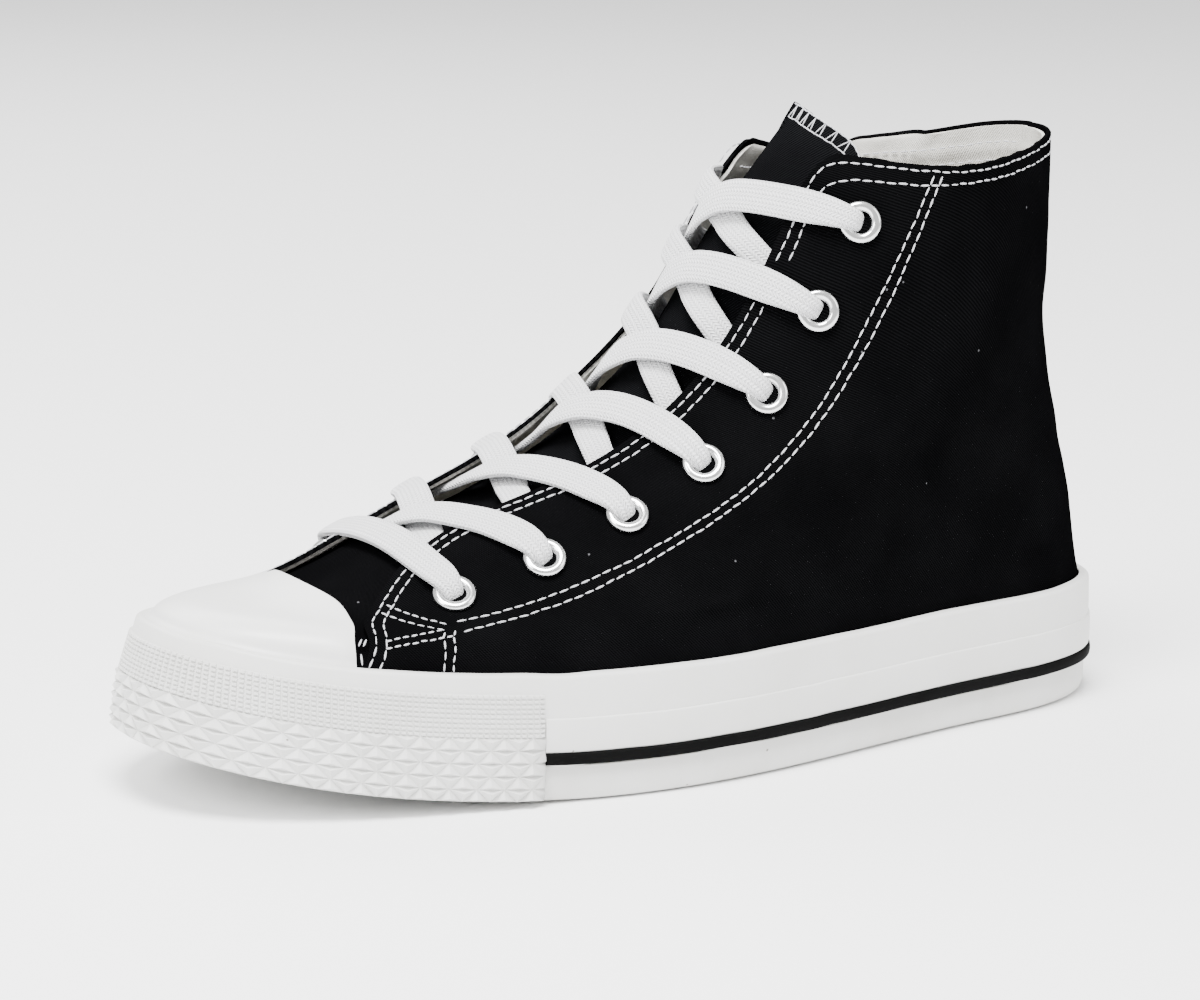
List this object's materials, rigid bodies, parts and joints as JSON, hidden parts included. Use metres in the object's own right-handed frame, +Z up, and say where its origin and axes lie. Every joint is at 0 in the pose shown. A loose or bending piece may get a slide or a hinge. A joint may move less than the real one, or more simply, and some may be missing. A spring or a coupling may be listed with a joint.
{
  "type": "high top sneaker",
  "caption": "Left high top sneaker with a hollow canvas upper, rubber toe cap and bumper, wrapped rubber sole, tongue and laces.",
  "frame": {"origin": "on the floor plane, under the middle of the shoe's box", "axes": "+X from heel to toe, +Y to the outer (lateral) side of this left shoe, +Z up"},
  "size_m": [0.2708, 0.099, 0.1556],
  "materials": {
    "white_rubber": "satin",
    "black_rubber": "satin",
    "black_canvas": "woven, matte",
    "insole_fabric": "woven, matte",
    "aluminium": "satin",
    "white_cord": "knitted, matte"
  },
  "bodies": {
    "root": {"outsole": "white_rubber", "foxing": "white_rubber", "side_tape": "white_rubber", "pinstripe": "black_rubber", "toe_bumper": "white_rubber", "insole": "insole_fabric", "upper": "black_canvas", "toe_cap": "white_rubber", "heel_strip": "black_canvas", "tongue": "black_canvas", "eyelet_lateral_1": "aluminium", "eyelet_lateral_2": "aluminium", "eyelet_lateral_3": "aluminium", "eyelet_lateral_4": "aluminium", "eyelet_lateral_5": "aluminium", "eyelet_lateral_6": "aluminium", "eyelet_lateral_7": "aluminium", "eyelet_medial_1": "aluminium", "eyelet_medial_2": "aluminium", "eyelet_medial_3": "aluminium", "eyelet_medial_4": "aluminium", "eyelet_medial_5": "aluminium", "eyelet_medial_6": "aluminium", "eyelet_medial_7": "aluminium", "lace_bar": "white_cord", "lace_crossing_1": "white_cord", "lace_crossing_2": "white_cord", "lace_crossing_3": "white_cord", "lace_crossing_4": "white_cord", "lace_crossing_5": "white_cord", "lace_crossing_6": "white_cord"}
  },
  "joints": []
}
